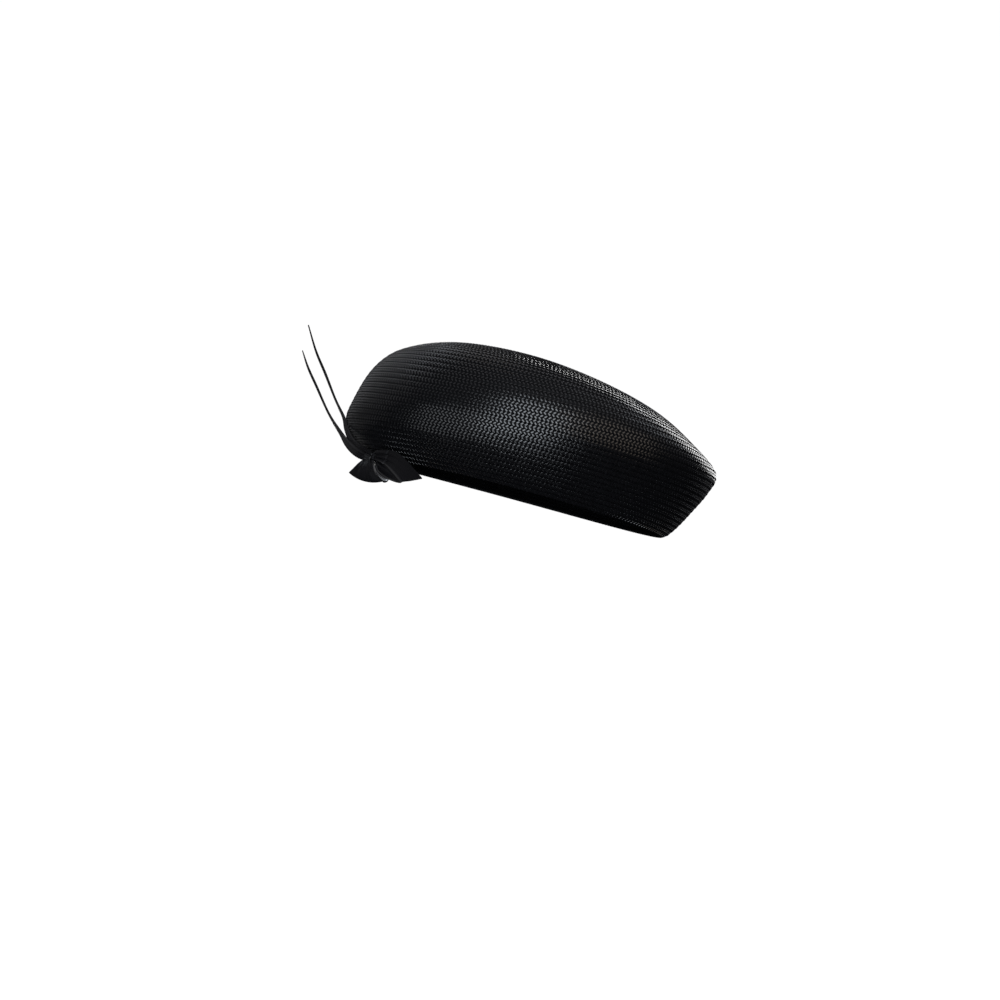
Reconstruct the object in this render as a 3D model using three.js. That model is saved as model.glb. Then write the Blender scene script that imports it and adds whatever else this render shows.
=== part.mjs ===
// Beret-shaped hat of plaited straw with a ribbon bow and two quills.
// Millimetres, +Z up. The rim lies near Z = 0, the bow is at the front (-X) and on the -Y side.
import * as THREE from 'three';

// Crown: a hollow straw shell, lofted through ovals from the tip down to the rim.
const STRAW_WALL = 2;
const CROWN_STEPS = 54;
const CROWN_RINGS = 27;
const CROWN_SEGMENTS = 76;
const OVAL_SQUARENESS = 2.1;
const CROWN_SECTIONS = [
  { at: 'tip', step: 0, frontX: 4, frontZ: 115, backX: 4, backZ: 115, halfWidth: 0, sideZ: 115 },
  { at: 'top inner', step: 10, frontX: -42, frontZ: 113, backX: 53, backZ: 106, halfWidth: 50, sideZ: 110 },
  { at: 'top middle', step: 20, frontX: -91, frontZ: 106, backX: 106, backZ: 91, halfWidth: 93, sideZ: 100 },
  { at: 'shoulder', step: 28, frontX: -127, frontZ: 89, backX: 142, backZ: 70, halfWidth: 118, sideZ: 88 },
  { at: 'top edge', step: 33, frontX: -142, frontZ: 71, backX: 155, backZ: 60, halfWidth: 127, sideZ: 72 },
  { at: 'equator', step: 40, frontX: -151, frontZ: 42, backX: 152, backZ: 45, halfWidth: 125.5, sideZ: 50 },
  { at: 'lower wall', step: 46, frontX: -152, frontZ: 24, backX: 144, backZ: 28, halfWidth: 114, sideZ: 31 },
  { at: 'turn under', step: 51, frontX: -140, frontZ: 10, backX: 135, backZ: 11, halfWidth: 98, sideZ: 13 },
  { at: 'rim', step: 54, frontX: -127, frontZ: 0, backX: 127, backZ: 0, halfWidth: 88, sideZ: 3.5 },
];

// Bow: two ribbon loops. Each row is a section across the ribbon, from the knot out over the fold
// and back to the knot. The arch lifts the middle of a section out, the sag lets it hang.
const RIBBON_THICKNESS = 1;
const RIBBON_SECTIONS = 22;
const RIBBON_POINTS_ACROSS = 7;
const FRONT_LOOP = [
  { at: 'front gather', left: [-121.6, -54.5, -4.9], right: [-113.3, -57.3, -3.3], arch: 0.4, sag: 0 },
  { at: 'front middle', left: [-126.6, -51.3, -9.6], right: [-108.1, -60.9, -7.5], arch: 1.2, sag: 0.3 },
  { at: 'front low', left: [-129.5, -47.3, -13.2], right: [-102.1, -66.1, -11.4], arch: 1.6, sag: 1.4 },
  { at: 'fold', left: [-131.7, -43.3, -16.2], right: [-98.1, -67.7, -14.4], arch: 0.8, sag: 3.4 },
  { at: 'back low', left: [-126.5, -42.7, -12.4], right: [-102.5, -60.7, -11.8], arch: 0.4, sag: 1.4 },
  { at: 'back middle', left: [-122.7, -47.3, -8.8], right: [-110.1, -55.7, -7.8], arch: 0.4, sag: 0.3 },
  { at: 'back gather', left: [-119.6, -51.3, -5.5], right: [-111.7, -55.1, -3.6], arch: 0.2, sag: 0 },
];
const SIDE_LOOP = [
  { at: 'front gather', left: [-112.9, -58.7, 3.2], right: [-112.9, -58.7, -1.8], arch: 0.3, sag: 0 },
  { at: 'front bend', left: [-106.1, -67.9, 6.6], right: [-107.5, -63.7, -2.6], arch: 1, sag: 0 },
  { at: 'front middle', left: [-94.1, -79.3, 4.8], right: [-98.5, -71.1, -7.4], arch: 1.6, sag: 0 },
  { at: 'front low', left: [-81.9, -88.3, -0.8], right: [-91.5, -78.1, -11.8], arch: 1.6, sag: 0.4 },
  { at: 'fold', left: [-70.9, -95.1, -8.2], right: [-87.8, -80.7, -14.7], arch: 0.8, sag: 0.8 },
  { at: 'back low', left: [-80.9, -84.1, -3.8], right: [-95.8, -69.2, -14.3], arch: 0.2, sag: 0.4 },
  { at: 'back middle', left: [-94.9, -72.9, 0], right: [-102.5, -63.3, -10.2], arch: 0.2, sag: 0 },
  { at: 'back gather', left: [-111.3, -56.7, 1.2], right: [-111.5, -56.5, -2], arch: 0.2, sag: 0 },
];

// Knot: a small barrel of wrapped ribbon that stands on the rim.
const KNOT_CENTRE = new THREE.Vector3(-113.8, -54.5, 0.9);
const KNOT_OUTWARD = new THREE.Vector3(-0.65, -0.76, 0).normalize();
const KNOT_POINTS_ROUND = 20;
const KNOT_SECTIONS = [
  { at: 'bottom', height: -3.8, along: 1.6, outward: 2.3 },
  { at: 'lower', height: -2.6, along: 2.5, outward: 3.3 },
  { at: 'waist', height: 0, along: 2.8, outward: 3.7 },
  { at: 'upper', height: 2.6, along: 2.5, outward: 3.3 },
  { at: 'top', height: 3.8, along: 1.6, outward: 2.3 },
];

// Quills: flat tapering strips, a row per station from the knot to the tip.
const QUILL_STATIONS = 26;
const QUILL_POINTS_ROUND = 8;
const QUILL_FACING = new THREE.Vector3(-0.55, -0.83, 0).normalize();
const LONG_QUILL = [
  { at: 'base', x: -117.2, y: -53.6, z: 1.5, halfWidth: 1.5, halfThickness: 0.8 },
  { at: 'held', x: -128.9, y: -47.1, z: 4.8, halfWidth: 2.4, halfThickness: 0.8 },
  { at: 'bundle', x: -138.6, y: -39.7, z: 9.6, halfWidth: 2.7, halfThickness: 0.8 },
  { at: 'leaving', x: -146.1, y: -31.7, z: 17.3, halfWidth: 2.3, halfThickness: 0.7 },
  { at: 'front', x: -152.3, y: -23.7, z: 27, halfWidth: 1.4, halfThickness: 0.6 },
  { at: 'lower', x: -164.8, y: -11.7, z: 40.2, halfWidth: 1.1, halfThickness: 0.5 },
  { at: 'middle', x: -180.8, y: -0.7, z: 59.4, halfWidth: 1.3, halfThickness: 0.5 },
  { at: 'upper', x: -195.6, y: 6.3, z: 76.9, halfWidth: 1.1, halfThickness: 0.4 },
  { at: 'tip', x: -209.2, y: 11.3, z: 97.6, halfWidth: 0.6, halfThickness: 0.3 },
];
const SHORT_QUILL = [
  { at: 'base', x: -117.7, y: -55.7, z: -1.4, halfWidth: 1.9, halfThickness: 0.8 },
  { at: 'held', x: -124.7, y: -52.7, z: -0.6, halfWidth: 2.6, halfThickness: 0.8 },
  { at: 'bundle', x: -132.7, y: -47.3, z: 2.1, halfWidth: 2.7, halfThickness: 0.8 },
  { at: 'leaving', x: -140.7, y: -41.1, z: 6.6, halfWidth: 2.5, halfThickness: 0.7 },
  { at: 'free', x: -149.5, y: -32.7, z: 13.1, halfWidth: 1.7, halfThickness: 0.6 },
  { at: 'lower', x: -165.3, y: -19.7, z: 26.6, halfWidth: 1.1, halfThickness: 0.5 },
  { at: 'middle', x: -184.2, y: -8.7, z: 47.1, halfWidth: 1.2, halfThickness: 0.5 },
  { at: 'upper', x: -196, y: -2.7, z: 60.6, halfWidth: 1.1, halfThickness: 0.4 },
  { at: 'tip', x: -205.9, y: 3.3, z: 74.2, halfWidth: 0.5, halfThickness: 0.3 },
];

// Value of a table's column at a place along its keys, on a smooth curve through every row.
function blend(keys, values, place) {
  const last = keys.length - 1;
  let index = 0;
  while (index < last - 1 && place > keys[index + 1]) {
    index += 1;
  }
  const slopeAt = (i) => {
    const low = Math.max(i - 1, 0);
    const high = Math.min(i + 1, last);
    return (values[high] - values[low]) / (keys[high] - keys[low]);
  };
  const span = keys[index + 1] - keys[index];
  const t = (place - keys[index]) / span;
  const start = (1 + 2 * t) * (1 - t) * (1 - t) * values[index];
  const end = t * t * (3 - 2 * t) * values[index + 1];
  const leave = t * (1 - t) * (1 - t) * span * slopeAt(index);
  const arrive = t * t * (t - 1) * span * slopeAt(index + 1);
  return start + end + leave + arrive;
}

// The value of one column of a table, for a place given in its rows from 0 to the last.
function columnAt(table, pick, place) {
  const keys = table.map((row, index) => index);
  return blend(keys, table.map(pick), place);
}

// A point of a column that holds points.
function pointAt(table, column, place) {
  const value = (axis) => columnAt(table, (row) => row[column][axis], place);
  return new THREE.Vector3(value(0), value(1), value(2));
}

// A power that keeps the sign, used to square off an oval.
function signedPower(value, power) {
  return Math.sign(value) * Math.abs(value) ** power;
}

// Turns every face of a closed body round where its faces point inwards.
function faceOutwards(points, faces) {
  let volume = 0;
  for (let i = 0; i < faces.length; i += 3) {
    const [a, b, c] = [points[faces[i]], points[faces[i + 1]], points[faces[i + 2]]];
    volume += a.dot(b.clone().cross(c));
  }
  if (volume < 0) {
    faces.reverse();
  }
}

// Closed body through a list of rings with the same number of points. Rings run the same way
// round, and the first and last ring are closed by fans around the middle of each.
function loft(rings) {
  const count = rings[0].length;
  const points = rings.flat();
  const faces = [];
  for (let ring = 0; ring < rings.length - 1; ring += 1) {
    for (let i = 0; i < count; i += 1) {
      const next = (i + 1) % count;
      const a = ring * count + i;
      const b = ring * count + next;
      faces.push(a, b, b + count, a, b + count, a + count);
    }
  }
  const closeEnd = (ring, reversed) => {
    const middle = new THREE.Vector3();
    rings[ring].forEach((point) => middle.add(point));
    points.push(middle.divideScalar(count));
    const hub = points.length - 1;
    for (let i = 0; i < count; i += 1) {
      const a = ring * count + i;
      const b = ring * count + ((i + 1) % count);
      faces.push(hub, reversed ? b : a, reversed ? a : b);
    }
  };
  closeEnd(0, true);
  closeEnd(rings.length - 1, false);
  faceOutwards(points, faces);
  const geometry = new THREE.BufferGeometry().setFromPoints(points);
  geometry.setIndex(faces);
  geometry.computeVertexNormals();
  return geometry;
}

// A point of the crown's outer surface, by step from the tip and by turn round the oval (0 is the back).
function crownPoint(step, turn) {
  const steps = CROWN_SECTIONS.map((section) => section.step);
  const at = (column) => blend(steps, CROWN_SECTIONS.map((section) => section[column]), step);
  const power = 2 / OVAL_SQUARENESS;
  const along = signedPower(Math.cos(turn), power);
  const across = signedPower(Math.sin(turn), power);
  const [frontX, backX, frontZ, backZ, sideZ] = ['frontX', 'backX', 'frontZ', 'backZ', 'sideZ'].map(at);
  const tilt = (backZ - frontZ) / 2;
  const lift = (backZ + frontZ) / 2 - sideZ;
  return new THREE.Vector3(
    (frontX + backX) / 2 + ((backX - frontX) / 2) * along,
    at('halfWidth') * across,
    sideZ + tilt * along + lift * along * along,
  );
}

// The same point moved into the crown by a depth, square to the surface.
function crownInside(step, turn, depth) {
  const near = 0.02;
  const higher = crownPoint(Math.max(step - near, 0.5), turn);
  const lower = crownPoint(Math.min(step + near, CROWN_STEPS), turn);
  const ahead = crownPoint(step, turn + near);
  const behind = crownPoint(step, turn - near);
  const down = lower.sub(higher);
  const round = ahead.sub(behind);
  const inward = round.cross(down).normalize();
  return crownPoint(step, turn).addScaledVector(inward, depth);
}

// Outer skin from the tip to the rim, then the inner skin back up to the tip.
function crownGeometry() {
  const ringAt = (step, depth) => {
    const ring = [];
    for (let i = 0; i < CROWN_SEGMENTS; i += 1) {
      ring.push(crownInside(step, (i / CROWN_SEGMENTS) * 2 * Math.PI, depth));
    }
    return ring;
  };
  const steps = [];
  for (let i = 1; i <= CROWN_RINGS; i += 1) {
    steps.push((i / CROWN_RINGS) * CROWN_STEPS);
  }
  const outer = steps.map((step) => ringAt(step, 0));
  const inner = steps.map((step) => ringAt(step, STRAW_WALL)).reverse();
  return loft([...outer, ...inner]);
}

// A ribbon of even thickness through the sections of a table.
function ribbonGeometry(table) {
  const middleOf = (place, share) => {
    const left = pointAt(table, 'left', place);
    const right = pointAt(table, 'right', place);
    return left.lerp(right, share);
  };
  const faceOf = (place, share) => {
    const step = 0.02;
    const before = middleOf(Math.max(place - step, 0), share);
    const after = middleOf(Math.min(place + step, table.length - 1), share);
    const across = middleOf(place, 1).sub(middleOf(place, 0));
    return after.sub(before).cross(across).normalize();
  };
  const rings = [];
  for (let i = 0; i <= RIBBON_SECTIONS; i += 1) {
    const place = (i / RIBBON_SECTIONS) * (table.length - 1);
    const arch = columnAt(table, (row) => row.arch, place);
    const sag = columnAt(table, (row) => row.sag, place);
    const top = [];
    const under = [];
    for (let j = 0; j < RIBBON_POINTS_ACROSS; j += 1) {
      const share = j / (RIBBON_POINTS_ACROSS - 1);
      const hump = 1 - (2 * share - 1) ** 2;
      const face = faceOf(place, share);
      const point = middleOf(place, share);
      point.addScaledVector(face, arch * hump);
      point.z -= sag * hump;
      top.push(point.clone().addScaledVector(face, RIBBON_THICKNESS / 2));
      under.push(point.clone().addScaledVector(face, -RIBBON_THICKNESS / 2));
    }
    rings.push([...top, ...under.reverse()]);
  }
  return loft(rings);
}

// The knot's barrel, its length upright and its flatter side against the rim.
function knotGeometry() {
  const along = new THREE.Vector3(-KNOT_OUTWARD.y, KNOT_OUTWARD.x, 0);
  const rings = KNOT_SECTIONS.map((section) => {
    const ring = [];
    for (let i = 0; i < KNOT_POINTS_ROUND; i += 1) {
      const turn = (i / KNOT_POINTS_ROUND) * 2 * Math.PI;
      const point = KNOT_CENTRE.clone();
      point.addScaledVector(along, section.along * Math.sin(turn));
      point.addScaledVector(KNOT_OUTWARD, section.outward * Math.cos(turn));
      point.z += section.height;
      ring.push(point);
    }
    return ring;
  });
  return loft(rings);
}

// A flat strip that follows a table's stations and tapers to its tip.
function quillGeometry(table) {
  const centreAt = (place) => {
    const value = (column) => columnAt(table, (row) => row[column], place);
    return new THREE.Vector3(value('x'), value('y'), value('z'));
  };
  const rings = [];
  for (let i = 0; i <= QUILL_STATIONS; i += 1) {
    const place = (i / QUILL_STATIONS) * (table.length - 1);
    const before = centreAt(Math.max(place - 0.05, 0));
    const after = centreAt(Math.min(place + 0.05, table.length - 1));
    const tangent = after.sub(before).normalize();
    const side = tangent.clone().cross(QUILL_FACING).normalize();
    const face = side.clone().cross(tangent).normalize();
    const halfWidth = columnAt(table, (row) => row.halfWidth, place);
    const halfThickness = columnAt(table, (row) => row.halfThickness, place);
    const ring = [];
    for (let j = 0; j < QUILL_POINTS_ROUND; j += 1) {
      const turn = (j / QUILL_POINTS_ROUND) * 2 * Math.PI;
      const point = centreAt(place);
      point.addScaledVector(side, halfWidth * Math.cos(turn));
      point.addScaledVector(face, halfThickness * Math.sin(turn));
      ring.push(point);
    }
    rings.push(ring);
  }
  return loft(rings);
}

// Adds a named mesh with a material of its own to the group.
function addPiece(group, name, geometry, slot, finish) {
  const material = new THREE.MeshStandardMaterial(finish);
  material.name = slot;
  const mesh = new THREE.Mesh(geometry, material);
  mesh.name = name;
  group.add(mesh);
}

const STRAW_FINISH = { color: '#121215', roughness: 0.35, metalness: 0 };
const RIBBON_FINISH = { color: '#17161a', roughness: 0.5, metalness: 0 };
const QUILL_FINISH = { color: '#0f0e12', roughness: 0.3, metalness: 0 };

const group = new THREE.Group();
group.name = 'straw_percher_hat';
addPiece(group, 'crown', crownGeometry(), 'straw', STRAW_FINISH);
addPiece(group, 'bow_loop_front', ribbonGeometry(FRONT_LOOP), 'front_ribbon', RIBBON_FINISH);
addPiece(group, 'bow_loop_side', ribbonGeometry(SIDE_LOOP), 'side_ribbon', RIBBON_FINISH);
addPiece(group, 'bow_knot', knotGeometry(), 'knot_ribbon', RIBBON_FINISH);
addPiece(group, 'quill_long', quillGeometry(LONG_QUILL), 'long_quill', QUILL_FINISH);
addPiece(group, 'quill_short', quillGeometry(SHORT_QUILL), 'short_quill', QUILL_FINISH);

export default group;
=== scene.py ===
"""Black plaited straw hat with a ribbon bow and two quills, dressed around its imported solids."""

import logging
import math
from collections.abc import Callable
from dataclasses import dataclass, field
from enum import Enum
from functools import partial
from typing import NamedTuple

import bpy
import numpy as np
from bpy.types import Material, Mesh, Node, NodeOutputs, NodeSocket, NodeTree, Object
from mathutils import Matrix, Vector


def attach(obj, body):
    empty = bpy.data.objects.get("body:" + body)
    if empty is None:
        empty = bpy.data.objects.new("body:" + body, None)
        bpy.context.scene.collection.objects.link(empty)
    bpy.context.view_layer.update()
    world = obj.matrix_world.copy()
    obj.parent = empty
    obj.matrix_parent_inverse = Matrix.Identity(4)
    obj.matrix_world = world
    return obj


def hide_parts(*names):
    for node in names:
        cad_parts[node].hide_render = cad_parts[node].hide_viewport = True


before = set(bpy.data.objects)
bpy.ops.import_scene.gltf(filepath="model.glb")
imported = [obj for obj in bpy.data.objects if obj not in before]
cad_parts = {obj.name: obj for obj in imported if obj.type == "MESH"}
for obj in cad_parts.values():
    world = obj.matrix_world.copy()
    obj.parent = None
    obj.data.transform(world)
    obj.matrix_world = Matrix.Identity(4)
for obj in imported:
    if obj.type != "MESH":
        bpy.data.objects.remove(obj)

MM = 0.001
TURN = 2.0 * math.pi
TINY = 1e-12
BODY = "root"
MAP = "UVMap"
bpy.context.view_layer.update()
LOG = logging.getLogger("straw_hat")

Colour = tuple[float, float, float, float]
Row = tuple[float, ...]
Span = tuple[float, float]
Arrays = tuple[np.ndarray, ...]
Inputs = dict[str | int, object]
Kinds = dict[str, str]
Surface = Callable[[np.ndarray, np.ndarray], np.ndarray]


class Face(Enum):
    """The two faces of the crown's wall."""

    OUTSIDE = 1.0
    INSIDE = -1.0


class Slant(Enum):
    """The way the strands of the two columns of a plait row lean."""

    FORWARD = 1.0
    BACKWARD = -1.0


def unit(vectors: np.ndarray) -> np.ndarray:
    """Vectors of the same directions with a length of one."""
    return vectors / np.maximum(np.linalg.norm(vectors, axis=-1, keepdims=True), TINY)


def even_turns(count: int) -> np.ndarray:
    """Even turns all the way round a ring."""
    return np.arange(count) / count * TURN


def blend(keys: np.ndarray, values: np.ndarray, place: np.ndarray) -> np.ndarray:
    """Reads a table on a smooth curve through every one of its rows.

    Args:
        keys: Rising key of each row.
        values: One row of numbers per key.
        place: Places along the keys, of any shape.

    Returns:
        The blended rows, shaped as place with one more axis for the columns.
    """
    low = np.maximum(np.arange(len(keys)) - 1, 0)
    high = np.minimum(np.arange(len(keys)) + 1, len(keys) - 1)
    slopes = (values[high] - values[low]) / (keys[high] - keys[low])[:, None]
    index = np.clip(np.searchsorted(keys, place, side="right") - 1, 0, len(keys) - 2)
    span = (keys[index + 1] - keys[index])[..., None]
    t = (place[..., None] - keys[index][..., None]) / span
    start = (1 + 2 * t) * (1 - t) ** 2 * values[index]
    end = t * t * (3 - 2 * t) * values[index + 1]
    leave = t * (1 - t) ** 2 * span * slopes[index]
    arrive = t * t * (t - 1) * span * slopes[index + 1]
    return start + end + leave + arrive


def read_rows(lines: list[Row], place: np.ndarray) -> np.ndarray:
    """Reads rows of millimetres on a smooth curve.

    Args:
        lines: The rows.
        place: Places, counted in rows and kept between the first and the last.

    Returns:
        The blended rows, in metres.
    """
    keys = np.arange(len(lines), dtype=float)
    return blend(keys, np.array(lines) * MM, np.clip(place, 0.0, keys[-1]))


def square_to(surface: Surface, row: np.ndarray, turn: np.ndarray, reach: Span) -> np.ndarray:
    """Directions square to a surface that is laid out in rows and turns.

    Args:
        surface: Gives the surface's points.
        row: Rows counted from the tip.
        turn: Turns round the oval.
        reach: Row and turn by which the surface is felt out to either side.

    Returns:
        The directions, out of the hat.
    """
    down = surface(row + reach[0], turn) - surface(row - reach[0], turn)
    onward = surface(row, turn + reach[1]) - surface(row, turn - reach[1])
    return unit(np.cross(down, onward))


def ring_map(around: int, level: np.ndarray, repeats: float = 1.0) -> np.ndarray:
    """Map places of a loft, round each ring and from ring to ring.

    Args:
        around: Points round each ring.
        level: Place of each ring along the map.
        repeats: Units of the map round a ring.

    Returns:
        The map places, with one more column that closes each ring.
    """
    share = np.arange(around + 1) / around * repeats
    return np.stack(np.broadcast_arrays(share[None, :], level[:, None]), axis=-1)


def loft_mesh(name: str, rings: np.ndarray, uv: np.ndarray) -> Mesh:
    """Makes a closed mesh through rings of points, with a fan over either end.

    Args:
        name: Name of the mesh.
        rings: Points, shaped (rings, points round, 3).
        uv: Map places, shaped (rings, points round + 1, 2); the last column closes each ring.

    Returns:
        The smooth mesh with its faces outward and its own map.
    """
    count, around = rings.shape[:2]
    hubs = np.stack([rings[0].mean(axis=0), rings[-1].mean(axis=0)])
    points = np.concatenate([rings.reshape(-1, 3), hubs])
    ring, side = np.meshgrid(np.arange(count - 1), np.arange(around), indexing="ij")
    after = (side + 1) % around
    near = [(ring, side, side), (ring, after, side + 1)]
    far = [(ring + 1, after, side + 1), (ring + 1, side, side)]
    quads = np.stack([r * around + s for r, s, _ in near + far], axis=-1).reshape(-1, 4)
    quad_uv = np.stack([uv[r, u] for r, _, u in near + far], axis=-2).reshape(-1, 4, 2)
    spoke = np.arange(around)
    follow = (spoke + 1) % around
    last = (count - 1) * around
    hub = np.full(around, count * around)
    first_fan = np.stack([hub, follow, spoke], axis=-1)
    last_fan = np.stack([hub + 1, last + spoke, last + follow], axis=-1)
    fans = np.concatenate([first_fan, last_fan])
    middle = (uv[:, :-1] + uv[:, 1:]) / 2
    first_uv = np.stack([middle[0], uv[0, 1:], uv[0, :-1]], axis=-2)
    last_uv = np.stack([middle[-1], uv[-1, :-1], uv[-1, 1:]], axis=-2)
    fan_uv = np.concatenate([first_uv, last_uv])
    a, b, c, d = (points[quads[:, i]] for i in range(4))
    volume = np.einsum("ij,ij->", a, np.cross(b, c)) + np.einsum("ij,ij->", a, np.cross(c, d))
    if volume < 0:
        quads, quad_uv = quads[:, ::-1], quad_uv[:, ::-1]
        fans, fan_uv = fans[:, ::-1], fan_uv[:, ::-1]
    mesh = bpy.data.meshes.new(name)
    mesh.from_pydata(points.tolist(), [], quads.tolist() + fans.tolist())
    layer = mesh.uv_layers.new(name=MAP)
    places = np.concatenate([quad_uv.reshape(-1, 2), fan_uv.reshape(-1, 2)])
    layer.data.foreach_set("uv", places.astype(np.float32).ravel())
    mesh.shade_smooth()
    mesh.update()
    return mesh


def add_piece(mesh: Mesh, material: Material, node: str) -> Object:
    """Puts a finished mesh into the scene in place of a solid.

    Args:
        mesh: The finished mesh, in the hat's own frame.
        material: Its finish.
        node: The solid that it stands for.

    Returns:
        The piece, which rides on the hat's one body.
    """
    piece = bpy.data.objects.new(mesh.name, mesh)
    bpy.context.scene.collection.objects.link(piece)
    mesh.materials.clear()
    mesh.materials.append(material)
    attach(piece, BODY)
    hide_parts(node)
    LOG.info("%s: %d faces for %s", piece.name, len(mesh.polygons), node)
    return piece


@dataclass
class NodeBench:
    """Short ways to place and join the nodes of one tree."""

    tree: NodeTree

    def fill(self, node: Node, inputs: Inputs) -> None:
        """Sets inputs of a node, or joins them to sockets.

        Args:
            node: The node.
            inputs: Values or sockets for its inputs, by name or number.
        """
        for key, value in inputs.items():
            if isinstance(value, NodeSocket):
                self.tree.links.new(value, node.inputs[key])
            else:
                node.inputs[key].default_value = value

    def add(self, kind: str, inputs: Inputs | None = None, **settings: object) -> Node:
        """Places a node.

        Args:
            kind: Type of the node.
            inputs: Values or sockets for its inputs, by name or number.
            settings: Its properties.

        Returns:
            The new node.
        """
        node = self.tree.nodes.new(kind)
        for name, value in settings.items():
            setattr(node, name, value)
        self.fill(node, inputs or {})
        return node

    def maths(self, operation: str, first: object, second: object = 0.0) -> NodeSocket:
        """Result of one sum of two values or sockets."""
        return self.add("ShaderNodeMath", {0: first, 1: second}, operation=operation).outputs[0]

    def mix(self, share: NodeSocket, dark: Colour, light: Colour) -> NodeSocket:
        """Colour that lies between two colours."""
        inputs = {"Factor": share, 6: dark, 7: light}
        return self.add("ShaderNodeMix", inputs, data_type="RGBA").outputs[2]

    def remap(self, value: NodeSocket, source: Span, target: Span) -> NodeSocket:
        """Value carried over from one span to another and kept within it."""
        limits = dict(zip(("From Min", "From Max", "To Min", "To Max"), (*source, *target)))
        return self.add("ShaderNodeMapRange", {"Value": value, **limits}).outputs[0]

    def random(self, seed: NodeSocket, low: object = 0.0, high: object = 1.0) -> NodeSocket:
        """Random number between two limits for every point."""
        inputs = {2: low, 3: high, "Seed": seed}
        return self.add("FunctionNodeRandomValue", inputs, data_type="FLOAT").outputs[1]

    def stored(self, name: str, kind: str = "FLOAT") -> NodeSocket:
        """Numbers that the points keep under a name."""
        return self.add("GeometryNodeInputNamedAttribute", {"Name": name}, data_type=kind).outputs[0]

    def store(self, geometry: NodeSocket, name: str, value: NodeSocket, **settings: str) -> NodeSocket:
        """Keeps numbers under a name.

        Args:
            geometry: What keeps them.
            name: Their name.
            value: The numbers.
            settings: Their data_type and domain.

        Returns:
            The geometry that holds them.
        """
        inputs = {"Geometry": geometry, "Name": name, "Value": value}
        return self.add("GeometryNodeStoreNamedAttribute", inputs, **settings).outputs[0]

    def spaced(self, guides: NodeSocket, spacing: NodeSocket) -> NodeSocket:
        """Lays curves along guides.

        Args:
            guides: The mesh of guide lines.
            spacing: Spacing of the points along the curves.

        Returns:
            The curves.
        """
        curves = self.add("GeometryNodeMeshToCurve", {"Mesh": guides}).outputs[0]
        inputs = {"Curve": curves, "Length": spacing}
        return self.add("GeometryNodeResampleCurve", inputs, mode="LENGTH").outputs[0]

    def dressed(self, geometry: NodeSocket, finish: NodeSocket) -> NodeSocket:
        """Plain geometry that wears a finish."""
        real = self.add("GeometryNodeRealizeInstances", {0: geometry}).outputs[0]
        return self.add("GeometryNodeSetMaterial", {"Geometry": real, "Material": finish}).outputs[0]


def open_group(name: str, kind: str, inputs: Kinds, outputs: Kinds) -> tuple[NodeBench, NodeOutputs, Node]:
    """Starts a node group with named sockets.

    Args:
        name: Name of the group.
        kind: Type of the tree.
        inputs: Kind of each input by name.
        outputs: Kind of each output by name.

    Returns:
        The bench, the group's inputs by name and its output node.
    """
    tree = bpy.data.node_groups.new(name, kind)
    for way, sockets in (("INPUT", inputs), ("OUTPUT", outputs)):
        for label, socket in sockets.items():
            tree.interface.new_socket(name=label, in_out=way, socket_type="NodeSocket" + socket)
    bench = NodeBench(tree)
    return bench, bench.add("NodeGroupInput").outputs, bench.add("NodeGroupOutput")


def fibre_group() -> NodeTree:
    """Lays out the long fibres that straw, ribbon and quill all show.

    Returns:
        A shader group with a fine Height along the fibres and a slower Tone.
    """
    found = bpy.data.node_groups.get("long_fibres")
    if found:
        return found
    bench, pick, result = open_group(
        "long_fibres",
        "ShaderNodeTree",
        {"Place": "Vector", "Along": "Float", "Across": "Float"},
        {"Height": "Float", "Tone": "Float"},
    )
    stretch = bench.add("ShaderNodeCombineXYZ", {0: pick["Along"], 1: pick["Across"], 2: 1.0}).outputs[0]
    factors = {0: pick["Place"], 1: stretch}
    place = bench.add("ShaderNodeVectorMath", factors, operation="MULTIPLY").outputs[0]
    fine = bench.add("ShaderNodeTexNoise", {"Vector": place, "Scale": 1.0, "Detail": 3.0})
    slow = bench.add("ShaderNodeTexNoise", {"Vector": place, "Scale": 0.23, "Detail": 1.0})
    bench.fill(result, {"Height": fine.outputs[0], "Tone": slow.outputs[0]})
    return bench.tree


def open_material(name: str) -> tuple[Material, NodeBench, Node]:
    """Starts a material.

    Args:
        name: Name of the finish.

    Returns:
        The material, its bench and its Principled shader.
    """
    material = bpy.data.materials.new(name)
    material.use_nodes = True
    return material, NodeBench(material.node_tree), material.node_tree.nodes["Principled BSDF"]


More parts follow.
